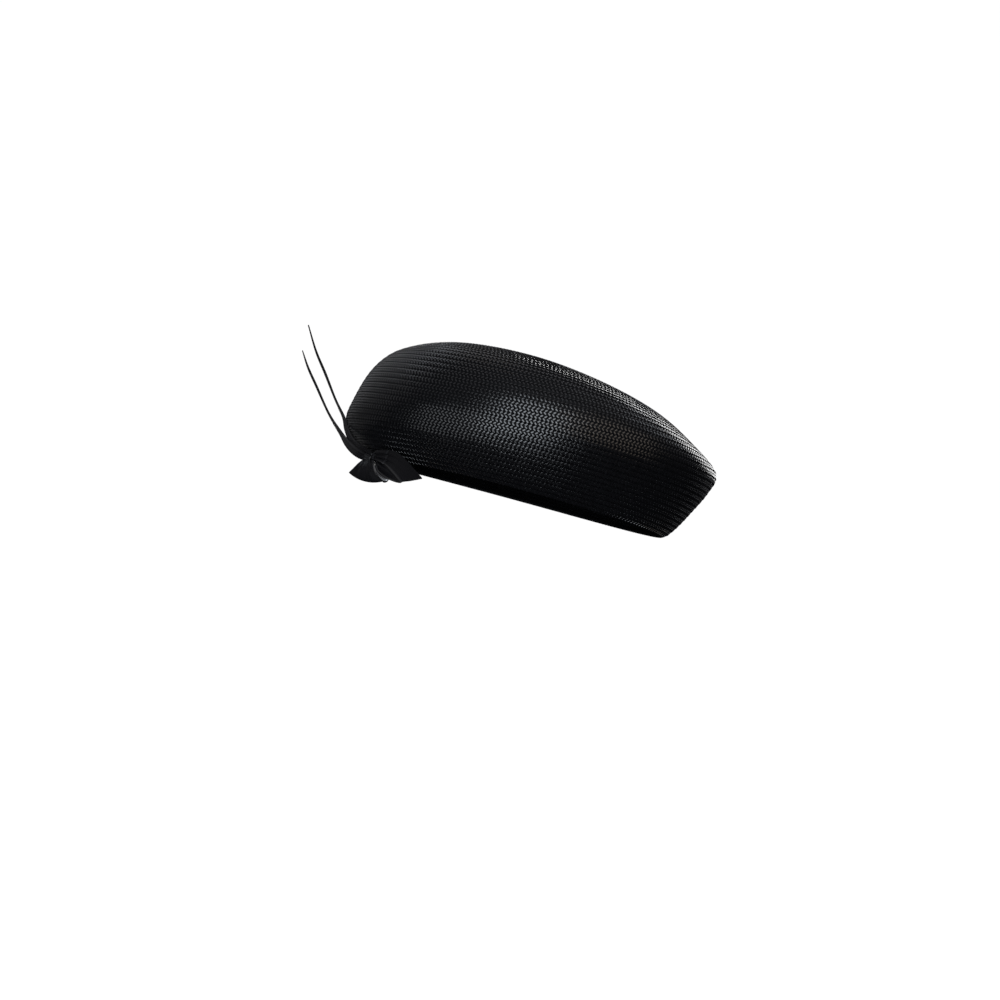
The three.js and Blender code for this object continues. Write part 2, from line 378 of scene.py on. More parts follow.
@dataclass(frozen=True)
class FibreFinish:
    """Black stuff with long fibres, the ground of every finish on the hat."""

    name: str
    dark: Colour = (0.001, 0.001, 0.0012, 1.0)
    light: Colour = (0.005, 0.005, 0.006, 1.0)
    # Roughness of the smoothest and the roughest fibres, and the span of grain between them
    roughness: Span = (0.14, 0.22)
    grain: Span = (0.0, 1.0)
    # Fibres to a unit of the piece's own map both ways, their height and its strength
    fibres: Span = (2.5, 14.0)
    relief: float = 0.2 * MM
    bump: float = 0.35
    # Shine of the bare stuff, and the clear coat over it
    gloss: float = 0.5
    coat: float = 0.35
    coat_roughness: float = 0.08
    coat_index: float = 1.5

    def start(self) -> tuple[Material, NodeBench, Node, NodeSocket, Node]:
        """Starts the material with its even values and its fibres.

        Returns:
            The material, its bench, its shader, the place on the map and the fibres.
        """
        material, bench, shader = open_material(self.name)
        bench.fill(shader, {"Specular IOR Level": self.gloss, "Coat Weight": self.coat})
        bench.fill(shader, {"Coat Roughness": self.coat_roughness, "Coat IOR": self.coat_index})
        place = bench.add("ShaderNodeUVMap", uv_map=MAP).outputs[0]
        fibres = bench.add("ShaderNodeGroup", node_tree=fibre_group())
        bench.fill(fibres, {"Place": place, "Along": self.fibres[0], "Across": self.fibres[1]})
        return material, bench, shader, place, fibres

    def cover(self, bench: NodeBench, shader: Node, follow: tuple[NodeSocket, ...]) -> None:
        """Joins what varies to the shader.

        Args:
            bench: The material's bench.
            shader: Its shader.
            follow: What the colour, the roughness and the relief follow.
        """
        tone, grain, height = follow
        inputs = {"Height": height, "Strength": self.bump, "Distance": self.relief}
        bench.fill(
            shader,
            {
                "Base Color": bench.mix(tone, self.dark, self.light),
                "Roughness": bench.remap(grain, self.grain, self.roughness),
                "Normal": bench.add("ShaderNodeBump", inputs).outputs[0],
            },
        )


@dataclass(frozen=True)
class StrawFinish(FibreFinish):
    """Lacquered black straw, a little different from strand to strand."""

    name: str = "lacquered_straw"
    # Weight of a strand's own tone beside its fibres, and how far both lighten the colour
    strand_share: float = 0.6
    contrast: float = 0.62

    def material(self) -> Material:
        """Builds the finish from the strands' own tone and their fibres.

        Returns:
            The material.
        """
        material, bench, shader, _, fibres = self.start()
        strand = bench.add("ShaderNodeAttribute", attribute_name="tone").outputs["Fac"]
        own = bench.maths("MULTIPLY", strand, self.strand_share)
        tone = bench.maths("MULTIPLY", bench.maths("ADD", own, fibres.outputs["Tone"]), self.contrast)
        self.cover(bench, shader, (tone, strand, fibres.outputs["Height"]))
        return material


@dataclass(frozen=True)
class RibbonFinish(FibreFinish):
    """Black ribbon with fine cross ribs and a soft sheen."""

    dark: Colour = (0.0008, 0.0007, 0.001, 1.0)
    light: Colour = (0.0034, 0.003, 0.0042, 1.0)
    roughness: Span = (0.4, 0.55)
    grain: Span = (0.3, 0.7)
    fibres: Span = (60.0, 9.0)
    relief: float = 0.12 * MM
    bump: float = 0.4
    gloss: float = 0.13
    coat: float = 0.0
    coat_roughness: float = 0.22
    coat_index: float = 2.0
    sheen: float = 0.02
    sheen_roughness: float = 0.4
    # Clear coat on the rolled edge, and the shares across the ribbon between which it rises
    edge: float = 0.0
    edge_band: Span = (0.86, 0.93)
    # Ribs along the ribbon, and their height beside that of the fibres
    ribs: float = 46.0
    rib_share: float = 0.35

    def material(self) -> Material:
        """Builds the finish on the ribbon's own map, across and along.

        Returns:
            The material.
        """
        material, bench, shader, place, fibres = self.start()
        across, along, _ = bench.add("ShaderNodeSeparateXYZ", {0: place}).outputs
        wave = bench.maths("SINE", bench.maths("MULTIPLY", along, self.ribs * TURN))
        grain = fibres.outputs["Height"]
        height = bench.maths("ADD", bench.maths("MULTIPLY", wave, self.rib_share), grain)
        self.cover(bench, shader, (fibres.outputs["Tone"], grain, height))
        bench.fill(shader, {"Sheen Weight": self.sheen, "Sheen Roughness": self.sheen_roughness})
        if self.edge > 0.0:
            bench.fill(shader, {"Coat Weight": bench.remap(across, self.edge_band, (0.0, self.edge))})
        return material


@dataclass(frozen=True)
class QuillFinish(FibreFinish):
    """Smooth black quill with a narrow shine along its fibres."""

    light: Colour = (0.005, 0.0046, 0.0054, 1.0)
    roughness: Span = (0.12, 0.28)
    fibres: Span = (34.0, 7.0)
    relief: float = 0.1 * MM
    bump: float = 0.4
    gloss: float = 0.2
    coat: float = 0.15
    coat_roughness: float = 0.12
    coat_index: float = 2.0

    def material(self) -> Material:
        """Builds the finish on the quill's own map, round and along.

        Returns:
            The material.
        """
        material, bench, shader, _, fibres = self.start()
        grain = fibres.outputs["Height"]
        self.cover(bench, shader, (fibres.outputs["Tone"], grain, grain))
        return material


@dataclass(frozen=True)
class FloorFinish:
    """Plain pale floor, faintly mottled and lit from within so that it stays pale."""

    name: str = "pale_floor"
    dark: Colour = (0.9, 0.9, 0.9, 1.0)
    light: Colour = (0.95, 0.95, 0.95, 1.0)
    mottles: float = 3.0
    glow: float = 1.05
    roughness: float = 0.9

    def material(self) -> Material:
        """Builds the floor's finish.

        Returns:
            The material.
        """
        material, bench, shader = open_material(self.name)
        place = bench.add("ShaderNodeTexCoord").outputs["Object"]
        mottle = bench.add("ShaderNodeTexNoise", {"Vector": place, "Scale": self.mottles})
        colour = bench.mix(mottle.outputs[0], self.dark, self.light)
        bench.fill(shader, {"Base Color": colour, "Emission Color": colour})
        bench.fill(shader, {"Emission Strength": self.glow, "Roughness": self.roughness})
        return material


class CrownRow(NamedTuple):
    """One section of the crown's skin, in millimetres: its ends by length and height, and its sides."""

    step: float
    front: Span
    back: Span
    half_width: float
    side_height: float


CROWN_ROWS = (
    CrownRow(0, (4, 115), (4, 115), 0, 115),
    CrownRow(10, (-42, 113), (53, 106), 50, 110),
    CrownRow(20, (-91, 106), (106, 91), 93, 100),
    CrownRow(28, (-127, 89), (142, 70), 118, 88),
    CrownRow(33, (-142, 71), (155, 60), 127, 72),
    CrownRow(40, (-151, 42), (152, 45), 125.5, 50),
    CrownRow(46, (-152, 24), (144, 28), 114, 31),
    CrownRow(51, (-140, 10), (135, 11), 98, 13),
    CrownRow(54, (-127, 0), (127, 0), 88, 3.5),
)


@dataclass
class CrownForm:
    """The hollow oval form and the even rows of plait that are sewn round it."""

    sections: tuple[CrownRow, ...] = CROWN_ROWS
    rows: int = 49
    # Power of the oval
    squareness: float = 2.1
    wall: float = 2.0 * MM
    # How far a row stands over the next, and the shares by which both ends stand less
    lap: float = 0.7 * MM
    front_ease: float = 0.75
    back_ease: float = 0.45
    # Power that keeps what differs at an end close to that end
    end_focus: int = 4
    # Share of a row at which its face ends and its edge drops
    brow: float = 0.92
    # How far the rim is drawn in at the back, and the breadth of the band that is
    rim_tuck: float = 2.0 * MM
    tuck_width: float = 6.0 * MM
    # Height of a row's rounded ridge on the inside
    inner_ridge: float = 0.4 * MM
    # How far the upper edge of a row lies under the solid's skin
    sink: float = 0.6 * MM
    # How far the wall strays, in how many waves to a turn, from where and over which rows
    sway: float = 0.2 * MM
    sway_waves: float = 3.0
    sway_start: float = 1.1
    sway_rows: float = 5.0
    # Share of the rows over which longer sides are evened out, and the power of its fading
    evened: float = 0.7
    evening: float = 1.4
    # Lines from tip to rim along which rows are measured, places on each, marks to a row
    meridians: int = 144
    measures: int = 500
    marks: int = 4
    # First row with its own direction, and the row and turn by which skin and wall are felt out
    tip_row: float = 0.5
    skin_reach: Span = (0.05, 0.02)
    face_reach: Span = (0.06, 0.01)
    table: np.ndarray = field(init=False)
    pitch: float = field(init=False)
    steps: np.ndarray = field(init=False)

    def __post_init__(self) -> None:
        """Measures at which step of the sections each row lies, all the way round."""
        lines = [(s.step, *s.front, *s.back, s.half_width, s.side_height) for s in self.sections]
        self.table = np.array(lines, dtype=float)
        turn = np.linspace(0.0, TURN, self.meridians + 1)
        step = np.linspace(0.0, self.table[-1, 0], self.measures)
        stretch = np.linalg.norm(np.diff(self.oval(*np.meshgrid(step, turn)), axis=1), axis=-1)
        run = np.concatenate([np.zeros((len(turn), 1)), np.cumsum(stretch, axis=1)], axis=1)
        self.pitch = float(run[:, -1].min() / self.rows)
        row = np.linspace(0.0, self.rows, self.rows * self.marks + 1)
        spare = np.clip(1.0 - row / (self.evened * self.rows), 0.0, 1.0) ** self.evening
        depths = [
            length - (self.rows - row) * self.pitch - (length - self.rows * self.pitch) * spare
            for length in run[:, -1]
        ]
        self.steps = np.array([np.interp(depth, along, step) for depth, along in zip(depths, run)])

    def oval(self, step: np.ndarray, turn: np.ndarray) -> np.ndarray:
        """Points of the solid's outer skin.

        Args:
            step: Steps of the sections from the tip.
            turn: Turns round the oval; 0 is the back.

        Returns:
            The points, in metres.
        """
        columns = blend(self.table[:, 0], self.table[:, 1:], step)
        front_x, front_z, back_x, back_z, half, side_z = np.moveaxis(columns * MM, -1, 0)
        power = 2.0 / self.squareness
        along = np.sign(np.cos(turn)) * np.abs(np.cos(turn)) ** power
        across = np.sign(np.sin(turn)) * np.abs(np.sin(turn)) ** power
        x = (front_x + back_x) / 2 + (back_x - front_x) / 2 * along
        z = side_z + (back_z - front_z) / 2 * along + ((back_z + front_z) / 2 - side_z) * along**2
        return np.stack([x, half * across, z], axis=-1)

    def skin(self, row: np.ndarray, turn: np.ndarray) -> np.ndarray:
        """Points of the outer skin by row of plait.

        Args:
            row: Rows of plait counted from the tip.
            turn: Turns round the oval; 0 is the back.

        Returns:
            The points, in metres.
        """
        across = np.mod(turn / TURN, 1.0) * self.meridians
        along = np.clip(row, 0.0, self.rows) * self.marks
        i = np.minimum(across.astype(int), self.meridians - 1)
        j = np.minimum(along.astype(int), self.rows * self.marks - 1)
        across, along = across - i, along - j
        near = self.steps[i, j] * (1.0 - along) + self.steps[i, j + 1] * along
        far = self.steps[i + 1, j] * (1.0 - along) + self.steps[i + 1, j + 1] * along
        return self.oval(near * (1.0 - across) + far * across, turn)

    def outward(self, row: np.ndarray, turn: np.ndarray) -> np.ndarray:
        """Directions square to the skin, out of the hat."""
        row = np.clip(row, self.tip_row, self.rows - self.skin_reach[0])
        return square_to(self.skin, row, turn, self.skin_reach)

    def wall_face(self, row: np.ndarray, turn: np.ndarray, face: Face) -> np.ndarray:
        """Points of the wall, whose rows of plait lap over each other towards the rim.

        Args:
            row: Rows of plait counted from the tip.
            turn: Turns round the oval.
            face: Which face of the wall.

        Returns:
            The points, in metres.
        """
        part = np.mod(row, 1.0)
        waves = np.sin(self.sway_waves * turn + self.sway_start)
        sway = self.sway * waves * np.sin(row / self.sway_rows)
        back = (0.5 + 0.5 * np.cos(turn)) ** self.end_focus
        to_rim = (self.rows - row) * self.pitch / self.tuck_width
        sway = sway - self.rim_tuck * back * np.clip(1.0 - to_rim, 0.0, 1.0) ** 2
        if face is Face.OUTSIDE:
            rise = np.minimum(part / self.brow, (1.0 - part) / (1.0 - self.brow))
            front = (0.5 - 0.5 * np.cos(turn)) ** self.end_focus
            lap = self.lap * (1.0 - self.front_ease * front - self.back_ease * back)
            lift = lap * (rise - 1.0) + self.lap - self.sink + sway
        else:
            lift = -self.wall - self.inner_ridge * (1.0 - np.abs(2.0 * part - 1.0) ** 3) + sway
        return self.skin(row, turn) + self.outward(row, turn) * lift[..., None]

    def face_normal(self, row: np.ndarray, turn: np.ndarray, face: Face) -> np.ndarray:
        """Directions square to a face of the wall, away from the wall."""
        surface = partial(self.wall_face, face=face)
        return square_to(surface, row, turn, self.face_reach) * face.value


@dataclass
class CrownShell:
    """The ground of sewn rows under the plait's strands, with its rounded rim."""

    form: CrownForm
    around: int = 180
    # Shares of a row at which either face has its rings
    outer_parts: Row = (0.0, 0.31, 0.62, 0.92)
    inner_parts: Row = (0.0, 0.33, 0.67)
    # How far the rounded rim stands below the wall, and its place on the map past the rows
    rim_drop: float = 0.5 * MM
    rim_row: float = 0.3
    # Units of the map round the crown
    map_repeats: float = 260.0

    def rings(self, face: Face, parts: Row) -> tuple[np.ndarray, np.ndarray]:
        """Rings of one face from the tip to the rim.

        Args:
            face: Which face of the wall.
            parts: Shares of a row at which there is a ring.

        Returns:
            The rings of points and the row of each.
        """
        row = (np.arange(self.form.rows)[:, None] + np.array(parts)).ravel()
        row = np.append(row[1:], self.form.rows)
        grid_row, grid_turn = np.meshgrid(row, even_turns(self.around), indexing="ij")
        return self.form.wall_face(grid_row, grid_turn, face), row

    def build(self, material: Material) -> Object:
        """Builds the shell.

        Args:
            material: The finish of the ground.

        Returns:
            The piece.
        """
        outer, outer_rows = self.rings(Face.OUTSIDE, self.outer_parts)
        inner, inner_rows = self.rings(Face.INSIDE, self.inner_parts)
        edge = (outer[-1:] + inner[-1:]) / 2
        edge[..., 2] -= self.rim_drop
        rings = np.concatenate([outer, edge, inner[::-1]])
        rows = np.concatenate([outer_rows, [self.form.rows + self.rim_row], inner_rows[::-1]])
        uv = ring_map(self.around, rows, self.map_repeats)
        return add_piece(loft_mesh("crown_ground", rings, uv), material, "crown")


def plait_tree() -> NodeTree:
    """Lays out the strands of plait along the guides of each row.

    Returns:
        A Geometry Nodes tree with named sizes.
    """
    seed_step = 7.0
    nod_share = 0.5
    bench, pick, result = open_group(
        "plait_strands",
        "GeometryNodeTree",
        {"Guides": "Geometry", "Strand": "Object", "Finish": "Material", "Pitch": "Float"}
        | {"Strand Size": "Vector", "Lean": "Float", "Dip": "Float", "Unevenness": "Float", "Seed": "Int"},
        {"Plait": "Geometry"},
    )
    spaced = bench.spaced(pick["Guides"], pick["Pitch"])
    tone = bench.random(pick["Seed"])
    toned = bench.store(spaced, "tone", tone, data_type="FLOAT", domain="POINT")
    outward = {"Vector": bench.stored("outward", "FLOAT_VECTOR")}
    upright = bench.add("FunctionNodeAlignRotationToVector", outward, axis="Z")
    tangent = bench.add("GeometryNodeInputTangent").outputs[0]
    onward = {"Rotation": upright.outputs[0], "Vector": tangent}
    leaned = bench.add("FunctionNodeAlignRotationToVector", onward, axis="X", pivot_axis="Z")
    least = bench.maths("MULTIPLY", pick["Unevenness"], -1.0)
    wobble = bench.random(bench.maths("ADD", pick["Seed"], seed_step), least, pick["Unevenness"])
    angle = bench.maths("ADD", bench.maths("MULTIPLY", pick["Lean"], bench.stored("lean")), wobble)
    dip = bench.maths("ADD", pick["Dip"], bench.maths("MULTIPLY", wobble, nod_share))
    for axis, amount in (((0.0, 0.0, 1.0), angle), ((0.0, 1.0, 0.0), dip)):
        turn = bench.add("FunctionNodeAxisAngleToRotation", {"Axis": axis, "Angle": amount})
        both = {"Rotation": leaned.outputs[0], "Rotate By": turn.outputs[0]}
        leaned = bench.add("FunctionNodeRotateRotation", both, rotation_space="LOCAL")
    scaled = {0: pick["Strand Size"], "Scale": bench.stored("growth")}
    size = bench.add("ShaderNodeVectorMath", scaled, operation="SCALE")
    strand = bench.add("GeometryNodeObjectInfo", {"Object": pick["Strand"]})
    placed = bench.add(
        "GeometryNodeInstanceOnPoints",
        {
            "Points": toned,
            "Instance": strand.outputs["Geometry"],
            "Rotation": leaned.outputs[0],
            "Scale": size.outputs[0],
        },
    )
    bench.fill(result, {"Plait": bench.dressed(placed.outputs[0], pick["Finish"])})
    return bench.tree


def round_line_tree() -> NodeTree:
    """Lays out fine round lines along guides, for the barbs of the quills.

    Returns:
        A Geometry Nodes tree with named sizes.
    """
    sides = 6
    bench, pick, result = open_group(
        "round_lines",
        "GeometryNodeTree",
        {"Guides": "Geometry", "Finish": "Material", "Spacing": "Float"}
        | {"Radius": "Float", "Map Length": "Float", "Seed": "Int"},
        {"Lines": "Geometry"},
    )
    spaced = bench.spaced(pick["Guides"], pick["Spacing"])
    length = bench.add("GeometryNodeSplineParameter").outputs["Length"]
    marked = bench.store(spaced, "run", length, data_type="FLOAT", domain="POINT")
    profile = bench.add("GeometryNodeCurvePrimitiveCircle", {"Resolution": sides, "Radius": pick["Radius"]})
    tube = bench.add(
        "GeometryNodeCurveToMesh",
        {
            "Curve": marked,
            "Profile Curve": profile.outputs[0],
            "Scale": bench.stored("taper"),
            "Fill Caps": True,
        },
    )
    along = bench.maths("DIVIDE", bench.stored("run"), pick["Map Length"])
    spread = bench.add("ShaderNodeCombineXYZ", {0: along, 1: bench.random(pick["Seed"])}).outputs[0]
    mapped = bench.store(tube.outputs[0], MAP, spread, data_type="FLOAT2", domain="CORNER")
    smooth = bench.add("GeometryNodeSetShadeSmooth", {"Geometry": mapped})
    bench.fill(result, {"Lines": bench.dressed(smooth.outputs[0], pick["Finish"])})
    return bench.tree


@dataclass
class GuideLines:
    """Guide lines with numbers on their points, which a node tree turns into a mesh.

    Args:
        lines: Points of each line, shaped (lines, points, 3).
        closed: Whether each line runs back to its start.
        numbers: Attributes of the points by name, shaped (lines, points) or (lines, points, 3).
    """

    lines: np.ndarray
    closed: bool
    numbers: dict[str, np.ndarray]

    def mesh(self, name: str) -> Mesh:
        """Makes the mesh of edges that holds the lines.

        Args:
            name: Name of the mesh.

        Returns:
            The mesh with its attributes.
        """
        count, length = self.lines.shape[:2]
        line, point = np.meshgrid(np.arange(count), np.arange(length), indexing="ij")
        start = line * length + point
        end = line * length + (point + 1) % length
        edges = np.stack([start, end], axis=-1)
        edges = edges if self.closed else edges[:, :-1]
        mesh = bpy.data.meshes.new(name)
        mesh.from_pydata(self.lines.reshape(-1, 3).tolist(), edges.reshape(-1, 2).tolist(), [])
        for label, values in self.numbers.items():
            vector = values.ndim == 3
            layer = mesh.attributes.new(label, "FLOAT_VECTOR" if vector else "FLOAT", "POINT")
            layer.data.foreach_set("vector" if vector else "value", values.astype(np.float32).ravel())
        return mesh

    def grow(self, name: str, tree: NodeTree, sizes: dict[str, object]) -> Mesh:
        """Runs a node tree on the lines.

        Args:
            name: Name of the finished mesh.
            tree: The node tree.
            sizes: Value of each named input.

        Returns:
            The finished plain mesh.
        """
        carrier = bpy.data.objects.new(name, self.mesh(name + "_guides"))
        bpy.context.scene.collection.objects.link(carrier)
        modifier = carrier.modifiers.new("grow", "NODES")
        modifier.node_group = tree
        given = (item for item in tree.interface.items_tree if item.in_out == "INPUT")
        sockets = {item.name: item.identifier for item in given}
        for label, value in sizes.items():
            modifier[sockets[label]] = value
        shown = carrier.evaluated_get(bpy.context.evaluated_depsgraph_get())
        mesh = bpy.data.meshes.new_from_object(shown)
        guides = carrier.data
        carrier.modifiers.clear()
        bpy.data.objects.remove(carrier)
        bpy.data.meshes.remove(guides)
        mesh.name = name
        return mesh


@dataclass
class PlaitCourses:
    """The strands of plait that cover a run of rows, two leaning columns to a row."""

    form: CrownForm
    name: str
    # The first row, and the row after the last
    first: int
    last: int
    face: Face = Face.OUTSIDE
    # Shares of a row at which its two columns lie
    columns: Span = (0.25, 0.72)
    # Spacing of the strands, and the length, breadth and height of one
    pitch: float = 3.1 * MM
    strand_size: Row = (2.9 * MM, 1.75 * MM, 0.24 * MM)
    # Angles of a strand to its row and in under the next, and how far they stray
    lean: float = math.radians(41.0)
    dip: float = math.radians(2.5)
    unevenness: float = 0.04
    # Least and greatest share of a strand's size, and the part of a row that decides it
    growth: Span = (0.8, 1.4)
    growth_reach: float = 0.25
    # Length that even the shortest row counts for
    least_round: float = 10.0 * MM
    seed: int = 3
    points: int = 200

    def strand(self) -> Object:
        """Makes one strand of unit size: flat with steep sides outside, a plain ridge inside.

        Returns:
            An object that the node tree repeats.
        """
        foot, brow, crest = -0.4, 0.84, 1.0
        if self.face is Face.OUTSIDE:
            end, corner, side, shoulder, bow = 0.4, 0.36, 0.33, 0.24, 0.29
            half = [(-end, -shoulder), (-corner, -side), (corner, -side), (end, -shoulder)]
            points = [(x, y, foot) for x, y in half + [(-x, -y) for x, y in half]]
            points += [(-corner, -shoulder, brow), (0.0, -bow, crest), (corner, -shoulder, brow)]
            points += [(corner, shoulder, brow), (0.0, bow, crest), (-corner, shoulder, brow)]
            faces = [(8, 9, 12, 13), (9, 10, 11, 12)]
            faces += [(7, 0, 8, 13), (0, 1, 8), (1, 2, 10, 9, 8), (2, 3, 10)]
            faces += [(3, 4, 11, 10), (4, 5, 11), (5, 6, 13, 12, 11), (6, 7, 13)]
            faces.append(tuple(reversed(range(8))))
        else:
            end, side, ridge = 0.46, 0.36, 0.34
            points = [(-end, -side, foot), (end, -side, foot), (end, side, foot), (-end, side, foot)]
            points += [(-ridge, 0.0, crest), (ridge, 0.0, crest)]
            faces = [(0, 1, 5, 4), (1, 2, 5), (2, 3, 4, 5), (3, 0, 4), (3, 2, 1, 0)]
        mesh = bpy.data.meshes.new("strand")
        mesh.from_pydata(points, [], faces)
        layer = mesh.uv_layers.new(name=MAP)
        for loop in mesh.loops:
            layer.data[loop.index].uv = points[loop.vertex_index][:2]
        return bpy.data.objects.new("strand", mesh)

    def guides(self) -> GuideLines:
        """Makes the guide of each column of each row.

        Returns:
            The guides with the way out, the lean and the growth at each point.
        """
        row = (np.arange(self.first, self.last)[:, None] + np.array(self.columns)).ravel()
        lean = np.array([way.value for way in Slant] * (self.last - self.first))
        grid_row, turn = np.meshgrid(row, even_turns(self.points), indexing="ij")
        around = np.linalg.norm(np.diff(self.form.skin(grid_row, turn), axis=1), axis=-1).sum(axis=1)
        half_step = 0.5 * self.pitch / np.maximum(around, self.least_round) * TURN
        turn = turn + np.where(lean > 0, 0.0, half_step)[:, None]
        reach = self.growth_reach
        breadth = self.form.skin(grid_row + reach, turn) - self.form.skin(grid_row - reach, turn)
        growth = np.linalg.norm(breadth, axis=-1) / (2.0 * reach * self.form.pitch)
        numbers = {
            "outward": self.form.face_normal(grid_row, turn, self.face),
            "lean": np.broadcast_to(lean[:, None] * self.face.value, turn.shape),
            "growth": np.clip(growth, *self.growth),
        }
        return GuideLines(self.form.wall_face(grid_row, turn, self.face), True, numbers)

    def build(self, material: Material, tree: NodeTree) -> Object:
        """Grows the strands.

        Args:
            material: The straw's finish.
            tree: The node tree of the plait.

        Returns:
            The piece.
        """
        strand = self.strand()
        sizes = {
            "Strand": strand,
            "Finish": material,
            "Pitch": self.pitch,
            "Strand Size": self.strand_size,
            "Lean": self.lean,
            "Dip": self.dip,
            "Unevenness": self.unevenness,
            "Seed": self.seed,
        }
        mesh = self.guides().grow(self.name, tree, sizes)
        bpy.data.objects.remove(strand)
        return add_piece(mesh, material, "crown")


class LoopRow(NamedTuple):
    """One section across a loop, in millimetres: its edges, and how its middle arches and sags."""

    at: str
    left: Row
    right: Row
    arch: float
    sag: float


FRONT_LOOP = (
    LoopRow("front gather", (-123, -54, -4), (-114.5, -57, -2.5), 0.5, 0),
    LoopRow("front middle", (-127, -51.5, -9), (-111.5, -60, -7), 1, 0.5),
    LoopRow("front low", (-130, -47.5, -13), (-106.5, -65, -11.5), 1.5, 1.5),
    LoopRow("fold", (-132.5, -43.5, -16.5), (-98, -67.5, -14.5), 1, 3.5),
    LoopRow("back low", (-127, -42.5, -12.5), (-104.5, -59.5, -12.5), 0.5, 1.5),
    LoopRow("back middle", (-123, -47.5, -8.5), (-112.5, -54.5, -8.5), 0.5, 0.5),
    LoopRow("back gather", (-120, -51.5, -5), (-114, -54, -3.5), 0, 0),
)

SIDE_LOOP = (
    LoopRow("front gather", (-115.5, -59.5, 5), (-113, -59.5, -2), 0.5, 0),
    LoopRow("front bend", (-106.5, -68, 7), (-107, -64, -3.5), 1, 0),
    LoopRow("front middle", (-95.5, -78, 6.5), (-98.5, -71, -7.5), 1.5, 0),
    LoopRow("front low", (-83, -88, 0), (-91.5, -78, -11.5), 1.5, 0.5),
    LoopRow("fold", (-71, -95, -8), (-88, -80.5, -14.5), 1, 1),
    LoopRow("back low", (-81, -84, -4), (-97, -68, -14.5), 0, 0.5),
    LoopRow("back middle", (-95, -73, 0), (-109.5, -59, -9.5), 0, 0),
    LoopRow("back gather", (-111.5, -56.5, 1), (-113, -56.5, -3), 0, 0),
)


@dataclass
class BowLoop:
    """One loop of the bow: a ribbon that leaves the knot in gathers, folds over and comes back."""

    name: str
    node: str
    slot: str
    rows: tuple[LoopRow, ...]
    # Width and length that the ribbon was cut to
    flat: Span
    # Gathers at the knot, their depth, the power of its fading, and a depth that fades evenly
    pleats: float = 3.0
    pleat_depth: float = 0.9 * MM
    pleat_fade: float = 1.5
    ripple: float = 0.12 * MM
    # Depth and number of the finer gathers as shares of the main ones, and both starts
    finer_pleats: Span = (0.35, 1.9)
    pleat_starts: Span = (0.6, 2.0)
    thickness: float = 0.5 * MM
    # Rolled right edge: height on the face and under it, half breadth and thinning
    roll: float = 0.0
    roll_under: float = 0.5 * MM
    roll_width: float = 0.06
    roll_fade: float = 0.65
    # Sharp fold across the loop: its row, its depth, and the rows of its rise and reach
    crease: float = 1.1
    crease_depth: float = 0.0
    crease_width: float = 0.06
    crease_reach: float = 1.1
    # Part of a row by which the loop is felt out for its direction
    reach: float = 0.02
    sections: int = 90
    across: int = 42
    # Power by which the points crowd towards the rolled edge
    crowding: float = 1.6

    def edges_at(self, place: np.ndarray) -> Arrays:
        """Edges, arch and sag of the ribbon.

        Args:
            place: Places along the loop, in rows.

        Returns:
            The left edge, the way from there to the right edge, the arch and the sag.
        """
        lines = [(*row.left, *row.right, row.arch, row.sag) for row in self.rows]
        row = read_rows(lines, place)
        return row[..., :3], row[..., 3:6] - row[..., :3], row[..., 6], row[..., 7]

    def surface(self, place: np.ndarray, share: np.ndarray) -> tuple[np.ndarray, np.ndarray]:
        """Middle of the ribbon before its gathers, and the way its face looks.

        Args:
            place: Places along the loop, in rows.
            share: Shares across the ribbon, 0 at the left edge.

        Returns:
            The points and their face directions.
        """
        ahead, behind, here = (self.edges_at(place + step) for step in (self.reach, -self.reach, 0.0))
        after, before, middle = (line[0] + line[1] * share[..., None] for line in (ahead, behind, here))
        _, width, arch, sag = here
        face = unit(np.cross(after - before, width))
        hump = 1.0 - (2.0 * share - 1.0) ** 2
        points = middle + face * (arch * hump)[..., None]
        points[..., 2] -= sag * hump
        return points, face

    def gathers(self, held: np.ndarray, share: np.ndarray) -> np.ndarray:
        """Height of the gathers.

        Args:
            held: Nearness to the knot, 1 at the knot and 0 at the fold.
            share: Shares across the ribbon.

        Returns:
            The heights, in metres.
        """
        depth = self.pleat_depth * held**self.pleat_fade + self.ripple * held
        finer_depth, finer_count = self.finer_pleats
        main_start, finer_start = self.pleat_starts
        wave = np.sin(TURN * self.pleats * share + main_start)
        finer = np.sin(TURN * self.pleats * finer_count * share + finer_start)
        return depth * (wave + finer_depth * finer)

    def build(self, material: Material) -> Object:
        """Args:
            material: The ribbon's finish.

        Returns:
            The piece.
        """
        last = len(self.rows) - 1.0
        along = np.linspace(0.0, last, self.sections)
        across = 1.0 - np.linspace(1.0, 0.0, self.across) ** self.crowding
        place, share = np.meshgrid(along, across, indexing="ij")
        points, face = self.surface(place, share)
        held = np.abs(2.0 * place / last - 1.0)
        past = place - self.crease
        rise = np.clip(past / self.crease_width, 0.0, 1.0)
        fold = self.crease_depth * rise * np.clip(self.crease_reach - past, 0.0, 1.0)
        points = points + face * (self.gathers(held, share) + fold)[..., None]
        from_roll = (1.0 - share) / self.roll_width - 1.0
        bead = np.sqrt(np.clip(1.0 - from_roll**2, 0.0, 1.0)) * (1.0 - self.roll_fade * held)
        half = self.thickness / 2
        top = points + face * (half + self.roll * bead)[..., None]
        under = points - face * (half + self.roll_under * bead)[..., None]
        rings = np.concatenate([top, under[:, ::-1]], axis=1)
        map_place = np.stack([share, place / last], axis=-1)
        uv = np.concatenate([map_place, map_place[:, ::-1], map_place[:, :1]], axis=1)
        piece = add_piece(loft_mesh(self.name, rings, uv), material, self.node)
        return piece


class KnotRow(NamedTuple):
    """One section of the knot, in millimetres: its height, and its half sizes along the rim and outward."""

    height: float
    half_length: float
    half_depth: float


